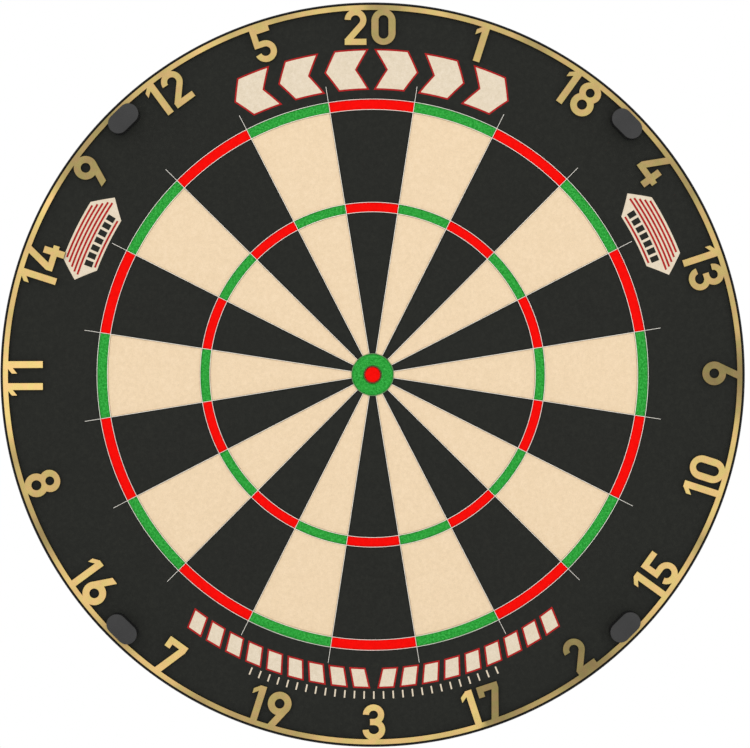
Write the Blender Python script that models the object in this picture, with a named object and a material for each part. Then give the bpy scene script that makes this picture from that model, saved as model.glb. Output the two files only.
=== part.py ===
"""Bristle dartboard with a number ring that turns, magnetic keepers and a wall bracket.

Metres. The wall is the plane y = 0 and the board faces -Y, so a depth below is a distance in front of the
wall. The board's axis is the Y axis and +Z is up. Angles on the face are clockwise from the top, as a
player sees them.
"""

from math import acos, atan2, cos, degrees, hypot, radians, sin

import bmesh
import bpy
from mathutils import Vector
from mathutils.geometry import delaunay_2d_cdt

MM = 0.001
GAP = 0.3 * MM  # between pieces that touch on the real board

# Depths in front of the wall.
PLATE_FRONT = 2.0 * MM
POCKET_FRONT = 7.5 * MM
HOOK_FRONT = 9.5 * MM
BOARD_BACK = 14.0 * MM
SISAL_BACK = 26.0 * MM
SISAL_FRONT = 52.0 * MM
BLADE_FRONT = 52.6 * MM
RING_BACK = 52.3 * MM
RING_FRONT = 54.3 * MM
KEEPER_FRONT = 60.5 * MM

# Board.
BOARD_RADIUS = 227.5 * MM
HOOP_THICKNESS = 1.0 * MM
HOOP_FRONT = SISAL_FRONT - 0.4 * MM
RIM_SEGMENTS = 80

# Blades: radii are of the blade's middle.
BLADE_THICKNESS = 0.6 * MM
BLADE_CLEARANCE = 0.3 * MM
RADIAL_BLADE_DEPTH = 6.0 * MM
ROUND_BLADE_DEPTH = 3.0 * MM
BLADE_TIP_RADIUS = 178.6 * MM
SECTORS = 20
SECTOR_ANGLE = 360 / SECTORS
ROUND_BLADES = {
    "double_outer_ring": (168.3 * MM, 80),
    "double_inner_ring": (161.9 * MM, 80),
    "treble_outer_ring": (105.3 * MM, 40),
    "treble_inner_ring": (99.4 * MM, 40),
    "outer_bull_ring": (12.8 * MM, 20),
    "inner_bull_ring": (5.2 * MM, 20),
}

# Number ring.
NUMBERS = (20, 1, 18, 4, 13, 6, 10, 15, 2, 17, 3, 19, 7, 16, 8, 11, 14, 9, 12, 5)
RING_OUTER_RADIUS = 225.5 * MM
RING_INNER_RADIUS = 222.3 * MM
DIGIT_OVERLAP = 0.7 * MM  # how far a digit runs into the band
DIGIT_HEIGHT = 22.0 * MM
STEM = 4.3 * MM
BAR = 3.9 * MM
FIRST_DIGIT_END = -2.9 * MM  # the first of two digits ends here, and the second starts at 0
ONE_KERN = 1.4 * MM  # each 1 of the 11 stands this much further out
ARC_STEP = 22.5  # degrees between the points of a digit's curve

# Keepers, each clipped on where there is room between two numbers.
KEEPER_ANGLES = (45.6, 135.2, 224.8, 316.0)
KEEPER_RADIUS = 216.9 * MM
KEEPER_LENGTH = 21.0 * MM
KEEPER_WIDTH = 12.4 * MM
KEEPER_BACK = SISAL_FRONT + 0.4 * MM
KEEPER_NOTCH = 4.8 * MM  # from the keeper's middle out to the step that clears the band
MAGNET_RADIUS = 4.0 * MM
MAGNET_THICKNESS = 3.0 * MM
MAGNET_SHIFT = 0.8 * MM  # towards the board's middle, away from the notch
ANCHOR_RADIUS = 4.5 * MM
ANCHOR_THICKNESS = 1.5 * MM

# Hanging screw, bracket and feet.
SHANK_RADIUS = 3.0 * MM
SCREW_HEAD_RADIUS = 6.5 * MM
SCREW_HEAD_BACK = 3.0 * MM
SCREW_HEAD_FRONT = 6.3 * MM
SCREW_TIP = 22.0 * MM
WASHER_RADIUS = 9.0 * MM
WASHER_THICKNESS = 1.6 * MM
BRACKET_WIDTH = 54.0 * MM
BRACKET_TOP = 32.0 * MM
BRACKET_BOTTOM = -30.0 * MM
POCKET_WIDTH = 24.0 * MM
POCKET_TOP = 22.0 * MM
POCKET_BOTTOM = -11.5 * MM
BRACKET_CORNER = 8.0 * MM
POCKET_WALL = 2.0 * MM
BRACKET_HOLES = ((-19.0 * MM, 20.0 * MM), (19.0 * MM, 20.0 * MM), (0.0, -20.0 * MM))
BRACKET_HOLE_RADIUS = 2.3 * MM
FOOT_ANGLES = (60, 180, 300)
FOOT_PITCH_RADIUS = 190.0 * MM
FOOT_BACK_RADIUS = 11.0 * MM
FOOT_FRONT_RADIUS = 14.0 * MM
FOOT_BORE_RADIUS = 2.4 * MM
FOOT_COUNTERBORE_RADIUS = 5.0 * MM
FOOT_COUNTERBORE_DEPTH = 5.0 * MM
FOOT_SCREW_HEAD_RADIUS = 4.2 * MM
FOOT_SCREW_RADIUS = 2.0 * MM
FOOT_SCREW_TIP = 21.0 * MM


def clear_scene():
    for thing in list(bpy.data.objects):
        bpy.data.objects.remove(thing, do_unlink=True)


def make_material(name, colour, roughness, metallic=0.0):
    material = bpy.data.materials.new(name)
    material.use_nodes = True
    shader = material.node_tree.nodes["Principled BSDF"]
    shader.inputs["Base Color"].default_value = (*colour, 1.0)
    shader.inputs["Roughness"].default_value = roughness
    shader.inputs["Metallic"].default_value = metallic
    material.diffuse_color = (*colour, 1.0)
    return material


def add_piece(name, bm, material, place=(0.0, 0.0), turn=0.0):
    """A piece from a bmesh, moved to place on the face and turned clockwise about its own middle."""
    bmesh.ops.recalc_face_normals(bm, faces=bm.faces[:])
    mesh = bpy.data.meshes.new(name)
    bm.to_mesh(mesh)
    bm.free()
    mesh.shade_smooth()
    mesh.set_sharp_from_angle(angle=radians(32))
    mesh.materials.append(material)
    return add_copy(name, mesh, place, turn)


def add_copy(name, mesh, place=(0.0, 0.0), turn=0.0):
    piece = bpy.data.objects.new(name, mesh)
    piece.location = (place[0], 0.0, place[1])
    piece.rotation_euler = (0.0, radians(turn), 0.0)
    bpy.context.scene.collection.objects.link(piece)
    return piece


def cut(piece, name, bm, operation="DIFFERENCE"):
    """Cuts the shape from the piece, or with UNION adds it. The shape is in the piece's own axes."""
    cutter = add_piece(name, bm, piece.data.materials[0])
    cutter.matrix_world = piece.matrix_basis
    cutter.hide_render = True
    cutter.display_type = "WIRE"
    modifier = piece.modifiers.new(name, "BOOLEAN")
    modifier.operation = operation
    modifier.solver = "EXACT"
    modifier.object = cutter


def on_face(radius, angle):
    """(x, z) at an angle clockwise from the top."""
    return radius * sin(radians(angle)), radius * cos(radians(angle))


# Flat outlines. A shape is an outline and the holes in it, each a list of (x, z) or (x, y) points.


def circle(radius, segments, middle=(0.0, 0.0), start=0.0):
    points = []
    for step in range(segments):
        x, z = on_face(radius, start + 360 * step / segments)
        points.append(Vector((middle[0] + x, middle[1] + z)))
    return points


def arc(middle, radii, start, end):
    """Points along an ellipse between two angles, which here are anticlockwise from the right."""
    count = max(2, round(abs(end - start) / ARC_STEP))
    points = []
    for step in range(count + 1):
        angle = radians(start + (end - start) * step / count)
        points.append(Vector((middle[0] + radii[0] * cos(angle), middle[1] + radii[1] * sin(angle))))
    return points


def box(left, bottom, right, top):
    return [Vector((left, bottom)), Vector((right, bottom)), Vector((right, top)), Vector((left, top))]


def upright_slot(width, bottom, top, left=0.0):
    """A rectangle with half-round ends."""
    radius = width / 2
    middle = left + radius
    upper = arc((middle, top - radius), (radius, radius), 0, 180)
    lower = arc((middle, bottom + radius), (radius, radius), 180, 360)
    return upper + lower


def strip(path, width):
    """The outline of a strip of one width along a path, with square ends."""
    points = [Vector(point) for point in path]
    ways = [(after - before).normalized() for before, after in zip(points, points[1:])]
    left = []
    right = []
    for index, point in enumerate(points):
        before = ways[max(index - 1, 0)]
        after = ways[min(index, len(ways) - 1)]
        middle = (before + after).normalized()
        normal = Vector((-middle.y, middle.x))
        reach = width / 2 / normal.dot(Vector((-after.y, after.x)))
        left.append(point + normal * reach)
        right.append(point - normal * reach)
    return left + right[::-1]


def tangent_angle(point, middle, radius, side):
    """Where a line from the point touches the circle: the angle anticlockwise from the right."""
    away = atan2(point[1] - middle[1], point[0] - middle[0])
    half = acos(radius / hypot(point[0] - middle[0], point[1] - middle[1]))
    return degrees(away + side * half)


# Digits: each returns its width and its shapes, standing on y = 0 with its left edge at x = 0.


def digit_0():
    width = 14.9 * MM
    side = 4.5 * MM
    inner = upright_slot(width - 2 * side, BAR, DIGIT_HEIGHT - BAR, side)
    return width, [(upright_slot(width, 0.0, DIGIT_HEIGHT), [inner])]


def digit_1():
    width = 7.7 * MM
    stem_left = width - STEM
    flag = [
        Vector((0.0, DIGIT_HEIGHT - 6.4 * MM)),
        Vector((stem_left + 0.6 * MM, DIGIT_HEIGHT - 3.3 * MM)),
        Vector((stem_left + 0.6 * MM, DIGIT_HEIGHT)),
        Vector((stem_left + 0.4 * MM, DIGIT_HEIGHT)),
        Vector((0.0, DIGIT_HEIGHT - 3.0 * MM)),
    ]
    return width, [(box(stem_left, 0.0, width, DIGIT_HEIGHT), []), (flag, [])]


def digit_2():
    width = 13.4 * MM
    radius = (width - BAR) / 2
    middle = (width / 2, DIGIT_HEIGHT - width / 2)
    foot = (1.5 * MM, 2.3 * MM)
    leave = tangent_angle(foot, middle, radius, 1)
    neck = arc(middle, (radius, radius), 180, leave) + [Vector(foot)]
    return width, [(strip(neck, BAR), []), (box(0.0, 0.0, width, BAR), [])]


def digit_3():
    waist = 11.2 * MM
    upper_radii = (4.6 * MM, (DIGIT_HEIGHT - BAR / 2 - waist) / 2)
    lower_radii = (5.0 * MM, (waist - BAR / 2) / 2)
    upper_middle = (6.8 * MM, waist + upper_radii[1])
    lower_middle = (7.0 * MM, waist - lower_radii[1])
    upper = arc(upper_middle, upper_radii, 180, -90) + [Vector((4.6 * MM, waist))]
    lower = [Vector((5.8 * MM, waist))] + arc(lower_middle, lower_radii, 90, -180)
    return 14.1 * MM, [(strip(upper, BAR), []), (strip(lower, BAR), [])]


def digit_4():
    crossbar = 4.3 * MM
    slope = [
        Vector((0.0, crossbar + BAR)),
        Vector((4.8 * MM, crossbar + BAR)),
        Vector((11.8 * MM, DIGIT_HEIGHT)),
        Vector((7.1 * MM, DIGIT_HEIGHT)),
    ]
    upright = box(9.6 * MM, 0.0, 9.6 * MM + STEM, 13.3 * MM)
    return 16.0 * MM, [(slope, []), (box(0.0, crossbar, 16.0 * MM, crossbar + BAR), []), (upright, [])]


def digit_5():
    shoulder = 11.5 * MM
    middle = (6.6 * MM, (shoulder + BAR / 2) / 2)
    radii = (4.9 * MM, (shoulder - BAR / 2) / 2)
    bowl = [Vector((0.5 * MM, shoulder))] + arc(middle, radii, 90, -170)
    stem = box(0.5 * MM, shoulder - BAR / 2, 0.5 * MM + BAR, DIGIT_HEIGHT)
    top = box(0.5 * MM, DIGIT_HEIGHT - BAR, 12.7 * MM, DIGIT_HEIGHT)
    return 13.5 * MM, [(strip(bowl, BAR), []), (stem, []), (top, [])]


def digit_6():
    radius = 7.3 * MM
    hole = 2.9 * MM
    middle = (radius, radius)
    track = (radius + hole) / 2
    top = (radius + 1.3 * MM, DIGIT_HEIGHT)
    touch = radians(tangent_angle(top, middle, track, 1))
    foot = Vector((middle[0] + track * cos(touch), middle[1] + track * sin(touch)))
    normal = Vector((cos(touch), sin(touch))) * STEM / 2
    half_top = Vector((STEM / 2 / abs(cos(touch)), 0.0))
    tail = [foot + normal, foot - normal, Vector(top) + half_top, Vector(top) - half_top]
    loop = arc(middle, (radius, radius), 0, 360)[:-1]
    eye = arc(middle, (hole, hole), 0, 360)[:-1]
    return 2 * radius, [(loop, [eye]), (tail, [])]


def digit_7():
    width = 13.3 * MM
    slope = [
        Vector((2.9 * MM, 0.0)),
        Vector((7.6 * MM, 0.0)),
        Vector((width, DIGIT_HEIGHT - BAR)),
        Vector((8.8 * MM, DIGIT_HEIGHT - BAR)),
    ]
    top = box(0.0, DIGIT_HEIGHT - BAR, width, DIGIT_HEIGHT)
    serif = box(0.0, DIGIT_HEIGHT - 7.0 * MM, BAR, DIGIT_HEIGHT - BAR)
    return width, [(top, []), (serif, []), (slope, [])]


def digit_8():
    width = 14.6 * MM
    lower, upper = (width / 2, 7.2 * MM), (width / 2, 15.8 * MM)
    lower_eye, upper_eye = (3.0 * MM, 3.0 * MM), (2.65 * MM, 2.65 * MM)
    # Each loop runs from waist to waist, so that neither fills the other's eye.
    outline = arc(lower, (7.3 * MM, 7.2 * MM), 41, -221)[:-1]
    outline += arc(upper, (6.9 * MM, 6.4 * MM), 217, -37)[:-1]
    return width, [(outline, [arc(lower, lower_eye, 0, 360)[:-1], arc(upper, upper_eye, 0, 360)[:-1]])]


def digit_9():
    width, shapes = digit_6()
    turned_round = []
    for outline, holes in shapes:
        loops = []
        for loop in (outline, *holes):
            loops.append([Vector((width - point.x, DIGIT_HEIGHT - point.y)) for point in loop])
        turned_round.append((loops[0], loops[1:]))
    return width, turned_round


DIGITS = (digit_0, digit_1, digit_2, digit_3, digit_4, digit_5, digit_6, digit_7, digit_8, digit_9)


def number_shapes(number):
    """The shapes of a number, side by side about x = 0."""
    digits = [DIGITS[int(character)]() for character in str(number)]
    if len(digits) == 1:
        starts = [-digits[0][0] / 2]
    elif number == 11:
        starts = [FIRST_DIGIT_END - digits[0][0] - ONE_KERN, ONE_KERN]
    else:
        starts = [FIRST_DIGIT_END - digits[0][0], 0.0]
    shapes = []
    for start, (_, parts) in zip(starts, digits):
        for outline, holes in parts:
            moved = [[point + Vector((start, 0.0)) for point in loop] for loop in (outline, *holes)]
            shapes.append((moved[0], moved[1:]))
    return shapes


def number_on_ring(number, angle):
    """The number's shapes in its place: tops outwards on the upper half, bottoms outwards on the lower."""
    edge = RING_INNER_RADIUS + DIGIT_OVERLAP
    upper = cos(radians(angle)) > -0.01
    lift = edge - DIGIT_HEIGHT if upper else -edge
    turn = radians(angle if upper else angle - 180)
    placed = []
    for outline, holes in number_shapes(number):
        loops = []
        for loop in (outline, *holes):
            turned_loop = []
            for point in loop:
                x, z = point.x, point.y + lift
                turned_loop.append(Vector((x * cos(turn) + z * sin(turn), z * cos(turn) - x * sin(turn))))
            loops.append(turned_loop)
        placed.append((loops[0], loops[1:]))
    return placed


# Solids.


def anticlockwise(loop):
    area = sum(a.x * b.y - b.x * a.y for a, b in zip(loop, loop[1:] + loop[:1]))
    return loop if area > 0 else loop[::-1]


def plane_cells(shapes):
    """Cuts the plane along every outline: its points, and triangles with the numbers of their shapes."""
    points = []
    loops = []
    members = []
    for outline, holes in shapes:
        numbers = []
        for loop in (outline, *holes):
            numbers.append(len(loops))
            loops.append(list(range(len(points), len(points) + len(loop))))
            points += anticlockwise(loop)
        members.append((numbers[0], set(numbers[1:])))
    corners, _, triangles, _, _, holders = delaunay_2d_cdt(points, [], loops, 1, 1e-6)
    cells = []
    for triangle, holder in zip(triangles, holders):
        holder = set(holder)
        inside = {n for n, (outer, holes) in enumerate(members) if outer in holder and not holes & holder}
        cells.append((tuple(triangle), inside))
    return corners, cells


def relief(shapes, front_of, back, plain_back=False):
    """A slab whose front lies at front_of(shape numbers) over each cell, or is open where that is None.

    A plain back is one face, for a slab whose back has no holes.
    """
    corners, cells = plane_cells(shapes)
    bm = bmesh.new()
    made = {}
    fronts = {}
    depths_at = {}
    for triangle, inside in cells:
        front = front_of(inside)
        if front is None:
            continue
        for start, end in zip(triangle, triangle[1:] + triangle[:1]):
            fronts[start, end] = front
            depths_at.setdefault(start, {back}).add(front)

    def vertex(corner, depth):
        if (corner, depth) not in made:
            point = corners[corner]
            made[corner, depth] = bm.verts.new((point.x, -depth, point.y))
        return made[corner, depth]

    def column(corner, low, high):
        return [vertex(corner, depth) for depth in sorted(depths_at[corner]) if low <= depth <= high]

    for triangle, inside in cells:
        front = front_of(inside)
        if front is None:
            continue
        bm.faces.new([vertex(corner, front) for corner in triangle])
        if not plain_back:
            bm.faces.new([vertex(corner, back) for corner in reversed(triangle)])
    rim = {}
    for (start, end), front in fronts.items():
        beyond = fronts.get((end, start), back)
        if (end, start) not in fronts:
            rim[start] = end
        if front <= beyond:
            continue
        left = column(start, beyond, front)
        right = column(end, beyond, front)
        while len(left) + len(right) > 2:
            if len(left) >= len(right):
                bm.faces.new((left[0], right[0], left[1]))
                left = left[1:]
            else:
                bm.faces.new((left[0], right[0], right[1]))
                right = right[1:]
    if plain_back:
        start = next(iter(rim))
        loop = [start]
        while rim[loop[-1]] != start:
            loop.append(rim[loop[-1]])
        bm.faces.new([vertex(corner, back) for corner in reversed(loop)])
    return bm


def slab(outline, back, front, holes=()):
    return relief([(outline, list(holes))], lambda inside: front if inside else None, back)


def turned(section, segments):
    """A body from a section, (radius, depth) points all the way round it, turned about the Y axis."""
    bm = bmesh.new()
    rings = []
    for radius, depth in section:
        if radius == 0:
            rings.append([bm.verts.new((0.0, -depth, 0.0))] * segments)
            continue
        ring = []
        for step in range(segments):
            x, z = on_face(radius, 360 * step / segments)
            ring.append(bm.verts.new((x, -depth, z)))
        rings.append(ring)
    for near, far in zip(rings, rings[1:] + rings[:1]):
        for step in range(segments):
            after = (step + 1) % segments
            corners = dict.fromkeys((near[step], near[after], far[after], far[step]))
            if len(corners) > 2:
                bm.faces.new(list(corners))
    return bm


def drum(radius, back, front, segments):
    return turned([(0, back), (radius, back), (radius, front), (0, front)], segments)


def tube(inner, outer, back, front, segments):
    return turned([(inner, back), (outer, back), (outer, front), (inner, front)], segments)


# Pieces.


def annulus(radius, width, segments):
    return circle(radius + width / 2, segments), [circle(radius - width / 2, segments)]


def inner_blade_end():
    return ROUND_BLADES["outer_bull_ring"][0] + BLADE_THICKNESS / 2 + BLADE_CLEARANCE


def blade_angles():
    return [SECTOR_ANGLE * (number + 0.5) for number in range(SECTORS)]


def make_backboard(material):
    """Chipboard disc with blind holes in its back for the hanging screw and the foot screws."""
    front = SISAL_BACK - GAP
    outline = circle(BOARD_RADIUS - HOOP_THICKNESS - GAP, RIM_SEGMENTS)
    holes = [(circle(SHANK_RADIUS + GAP, 16), SCREW_TIP + GAP)]
    for angle in FOOT_ANGLES:
        place = on_face(FOOT_PITCH_RADIUS, angle)
        holes.append((circle(FOOT_SCREW_RADIUS + GAP, 12, place), FOOT_SCREW_TIP + GAP))
    shapes = [(outline, [])] + [(hole, []) for hole, _ in holes]

    def back_of(inside):
        """Distance in front of the board's front face, counted backwards."""
        bored = [holes[number - 1][1] for number in inside if number > 0]
        return front - max(bored) if bored else front - BOARD_BACK

    bm = relief(shapes, back_of, 0.0, plain_back=True)
    for vertex in bm.verts:
        vertex.co.y = -front - vertex.co.y
    return add_piece("backboard", bm, material)


def make_sisal(material):
    """Pressed sisal disc, with slots for the blades and shallow recesses for the anchor discs."""
    outline = circle(BOARD_RADIUS - HOOP_THICKNESS - GAP, RIM_SEGMENTS)
    slot = BLADE_THICKNESS + 2 * BLADE_CLEARANCE
    shapes = [(outline, [])]
    floors = [SISAL_FRONT]
    for radius, segments in ROUND_BLADES.values():
        shapes.append(annulus(radius, slot, segments))
        floors.append(BLADE_FRONT - ROUND_BLADE_DEPTH - GAP)
    inner = inner_blade_end() - BLADE_CLEARANCE - BLADE_THICKNESS / 2
    outer = BLADE_TIP_RADIUS + BLADE_CLEARANCE
    for angle in blade_angles():
        ends = [on_face(inner, angle), on_face(outer, angle)]
        shapes.append((strip(ends, slot), []))
        floors.append(BLADE_FRONT - RADIAL_BLADE_DEPTH - GAP)
    for angle in KEEPER_ANGLES:
        place = on_face(KEEPER_RADIUS - MAGNET_SHIFT, angle)
        shapes.append((circle(ANCHOR_RADIUS + GAP, 16, place), []))
        floors.append(SISAL_FRONT - ANCHOR_THICKNESS - GAP)

    def front_of(inside):
        return min(floors[number] for number in inside) if inside else None

    return add_piece("sisal_disc", relief(shapes, front_of, SISAL_BACK, plain_back=True), material)


def make_hoop(material):
    inner = BOARD_RADIUS - HOOP_THICKNESS
    return add_piece("steel_hoop", tube(inner, BOARD_RADIUS, BOARD_BACK, HOOP_FRONT, RIM_SEGMENTS), material)


def make_round_blades(material):
    back = BLADE_FRONT - ROUND_BLADE_DEPTH
    for name, (radius, segments) in ROUND_BLADES.items():
        half = BLADE_THICKNESS / 2
        add_piece(name, tube(radius - half, radius + half, back, BLADE_FRONT, segments), material)


def make_radial_blades(material):
    """Blades on edge, notched in front where they pass under the round ones."""
    back = BLADE_FRONT - RADIAL_BLADE_DEPTH
    notch_floor = BLADE_FRONT - ROUND_BLADE_DEPTH - GAP
    notch_half = BLADE_THICKNESS / 2 + BLADE_CLEARANCE
    side = [Vector((inner_blade_end(), BLADE_FRONT))]
    for name in ("treble_inner_ring", "treble_outer_ring", "double_inner_ring", "double_outer_ring"):
        radius = ROUND_BLADES[name][0]
        side.append(Vector((radius - notch_half, BLADE_FRONT)))
        side.append(Vector((radius - notch_half, notch_floor)))
        side.append(Vector((radius + notch_half, notch_floor)))
        side.append(Vector((radius + notch_half, BLADE_FRONT)))
    side.append(Vector((BLADE_TIP_RADIUS, BLADE_FRONT)))
    side.append(Vector((BLADE_TIP_RADIUS, back)))
    side.append(Vector((inner_blade_end(), back)))
    bm = bmesh.new()
    faces = []
    for x in (-BLADE_THICKNESS / 2, BLADE_THICKNESS / 2):
        faces.append([bm.verts.new((x, -depth, radius)) for radius, depth in side])
    bm.faces.new(faces[0])
    bm.faces.new(reversed(faces[1]))
    for index in range(len(side)):
        after = (index + 1) % len(side)
        bm.faces.new((faces[0][index], faces[0][after], faces[1][after], faces[1][index]))
    angles = blade_angles()
    first = add_piece("radial_blade_01", bm, material, turn=angles[0])
    for number, angle in enumerate(angles[1:], 2):
        add_copy(f"radial_blade_{number:02d}", first.data, turn=angle)


def make_number_ring(material):
    """One sheet: a band with the numbers joined to its inner edge."""
    band = ((RING_OUTER_RADIUS + RING_INNER_RADIUS) / 2, RING_OUTER_RADIUS - RING_INNER_RADIUS)
    shapes = [annulus(*band, RIM_SEGMENTS)]
    for place, number in enumerate(NUMBERS):
        shapes += number_on_ring(number, SECTOR_ANGLE * place)
    bm = relief(shapes, lambda inside: RING_FRONT if inside else None, RING_BACK)
    return add_piece("number_ring", bm, material)


def capsule(length, width):
    """A level capsule about (0, 0)."""
    radius = width / 2
    half = length / 2 - radius
    right = arc((half, 0.0), (radius, radius), -90, 90)
    left = arc((-half, 0.0), (radius, radius), 90, 270)
    return right + left


def make_keepers(cap_material, magnet_material, anchor_material):
    """Each cap has a step that reaches over the band and a magnet in a pocket in its back."""
    pocket_floor = KEEPER_BACK + GAP + MAGNET_THICKNESS + GAP
    step_front = RING_FRONT + 0.4 * MM
    for number, angle in enumerate(KEEPER_ANGLES, 1):
        place = on_face(KEEPER_RADIUS, angle)
        low = (0.0, -MAGNET_SHIFT)
        shapes = [
            (capsule(KEEPER_LENGTH, KEEPER_WIDTH), []),
            (box(-KEEPER_LENGTH, KEEPER_NOTCH, KEEPER_LENGTH, KEEPER_LENGTH), []),
            (circle(MAGNET_RADIUS + GAP, 16, low), []),
        ]

        def rise_of(inside):
            """Distance from the cap's front face back to what faces the board."""
            if 0 not in inside:
                return None
            if 1 in inside:
                return KEEPER_FRONT - step_front
            return KEEPER_FRONT - (pocket_floor if 2 in inside else KEEPER_BACK)

        bm = relief(shapes, rise_of, 0.0)
        for vertex in bm.verts:
            vertex.co.y = -KEEPER_FRONT - vertex.co.y
        add_piece(f"keeper_cap_{number}", bm, cap_material, place, angle)
        magnet_place = on_face(KEEPER_RADIUS - MAGNET_SHIFT, angle)
        magnet_back = KEEPER_BACK + GAP
        magnet = drum(MAGNET_RADIUS, magnet_back, magnet_back + MAGNET_THICKNESS, 16)
        add_piece(f"keeper_magnet_{number}", magnet, magnet_material, magnet_place, angle)
        anchor = drum(ANCHOR_RADIUS, SISAL_FRONT - ANCHOR_THICKNESS, SISAL_FRONT, 16)
        add_piece(f"anchor_disc_{number}", anchor, anchor_material, magnet_place, angle)


def make_hanging_screw(screw_material, washer_material):
    """A pan-head screw, its head towards the wall, and the washer against the backboard."""
    section = [
        (0, SCREW_HEAD_BACK),
        (SCREW_HEAD_RADIUS - 1.5 * MM, SCREW_HEAD_BACK),
        (SCREW_HEAD_RADIUS, SCREW_HEAD_BACK + 1.2 * MM),
        (SCREW_HEAD_RADIUS, SCREW_HEAD_FRONT),
        (SHANK_RADIUS, SCREW_HEAD_FRONT),
        (SHANK_RADIUS, SCREW_TIP - 2.0 * MM),
        (SHANK_RADIUS - 1.2 * MM, SCREW_TIP),
        (0, SCREW_TIP),
    ]
    add_piece("hanging_screw", turned(section, 24), screw_material)
    front = BOARD_BACK - GAP
    washer = tube(SHANK_RADIUS + GAP, WASHER_RADIUS, front - WASHER_THICKNESS, front, 24)
    add_piece("hanging_washer", washer, washer_material)


def make_bracket(material):
    """A steel plate with a raised pocket, open at the top, whose front has a U-slot for the hanging screw."""
    corner = BRACKET_CORNER
    half = BRACKET_WIDTH / 2
    outline = []
    for x, z, start in (
        (half - corner, BRACKET_TOP - corner, 0),
        (corner - half, BRACKET_TOP - corner, 90),
        (corner - half, BRACKET_BOTTOM + corner, 180),
        (half - corner, BRACKET_BOTTOM + corner, 270),
    ):
        outline += arc((x, z), (corner, corner), start, start + 90)
    holes = [circle(BRACKET_HOLE_RADIUS, 16, place) for place in BRACKET_HOLES]
    bracket = add_piece("wall_bracket", slab(outline, 0.0, PLATE_FRONT, holes), material)
    wall = POCKET_WALL
    half = POCKET_WIDTH / 2
    block = box(-half, POCKET_BOTTOM, half, POCKET_TOP)
    cut(bracket, "pocket_block", slab(block, PLATE_FRONT / 2, HOOK_FRONT), "UNION")
    inside = box(wall - half, POCKET_BOTTOM + wall, half - wall, POCKET_TOP + wall)
    cut(bracket, "pocket_inside", slab(inside, PLATE_FRONT, POCKET_FRONT))
    slot_radius = SHANK_RADIUS + GAP
    slot = arc((0.0, 0.0), (slot_radius, slot_radius), 180, 360)
    slot += [Vector((slot_radius, POCKET_TOP + wall)), Vector((-slot_radius, POCKET_TOP + wall))]
    cut(bracket, "shank_slot", slab(slot, POCKET_FRONT - wall, HOOK_FRONT + wall))


def make_feet(rubber, steel):
    """Tapered rubber feet with a counterbore for the screw that holds each to the backboard."""
    front = BOARD_BACK - GAP
    seat = GAP + FOOT_COUNTERBORE_DEPTH
    foot_section = [
        (FOOT_BORE_RADIUS, front),
        (FOOT_FRONT_RADIUS, front),
        (FOOT_BACK_RADIUS, GAP),
        (FOOT_COUNTERBORE_RADIUS, GAP),
        (FOOT_COUNTERBORE_RADIUS, seat),
        (FOOT_BORE_RADIUS, seat),
    ]
    screw_section = [
        (0, seat - 3.2 * MM),
        (FOOT_SCREW_HEAD_RADIUS - 1.0 * MM, seat - 3.2 * MM),
        (FOOT_SCREW_HEAD_RADIUS, seat - 2.2 * MM),
        (FOOT_SCREW_HEAD_RADIUS, seat - GAP),
        (FOOT_SCREW_RADIUS, seat - GAP),
        (FOOT_SCREW_RADIUS, FOOT_SCREW_TIP - 1.5 * MM),
        (FOOT_SCREW_RADIUS / 2, FOOT_SCREW_TIP),
        (0, FOOT_SCREW_TIP),
    ]
    for number, angle in enumerate(FOOT_ANGLES, 1):
        place = on_face(FOOT_PITCH_RADIUS, angle)
        add_piece(f"wall_foot_{number}", turned(foot_section, 24), rubber, place)
        add_piece(f"foot_screw_{number}", turned(screw_section, 12), steel, place)


def main():
    clear_scene()
    sisal = make_material("sisal", (0.045, 0.045, 0.042), 0.85)
    chipboard = make_material("chipboard", (0.42, 0.29, 0.17), 0.8)
    black_steel = make_material("black_steel", (0.02, 0.02, 0.02), 0.45, 0.6)
    blade_steel = make_material("blade_steel", (0.8, 0.8, 0.78), 0.25, 1.0)
    gold = make_material("gold", (0.72, 0.5, 0.2), 0.3, 1.0)
    dark_plastic = make_material("dark_plastic", (0.05, 0.05, 0.05), 0.6)
    nickel = make_material("nickel", (0.65, 0.64, 0.6), 0.2, 1.0)
    zinc = make_material("zinc", (0.6, 0.61, 0.62), 0.35, 1.0)
    rubber = make_material("rubber", (0.03, 0.03, 0.03), 0.9)
    make_backboard(chipboard)
    make_sisal(sisal)
    make_hoop(black_steel)
    make_round_blades(blade_steel)
    make_radial_blades(blade_steel)
    make_number_ring(gold)
    make_keepers(dark_plastic, nickel, zinc)
    make_hanging_screw(zinc, zinc)
    make_bracket(black_steel)
    make_feet(rubber, zinc)


main()
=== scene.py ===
"""Looks for the bristle dartboard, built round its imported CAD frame.

Metres, in the frame's axes: the wall is y = 0, the board faces -Y, +Z is up. A depth is a distance in
front of the wall. Angles on the face are clockwise from the top, as a player sees them.
"""

from math import acos, asin, atan2, cos, degrees, hypot, pi, radians, sin

import bmesh
import bpy
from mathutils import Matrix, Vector, noise
from mathutils.geometry import delaunay_2d_cdt


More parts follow.
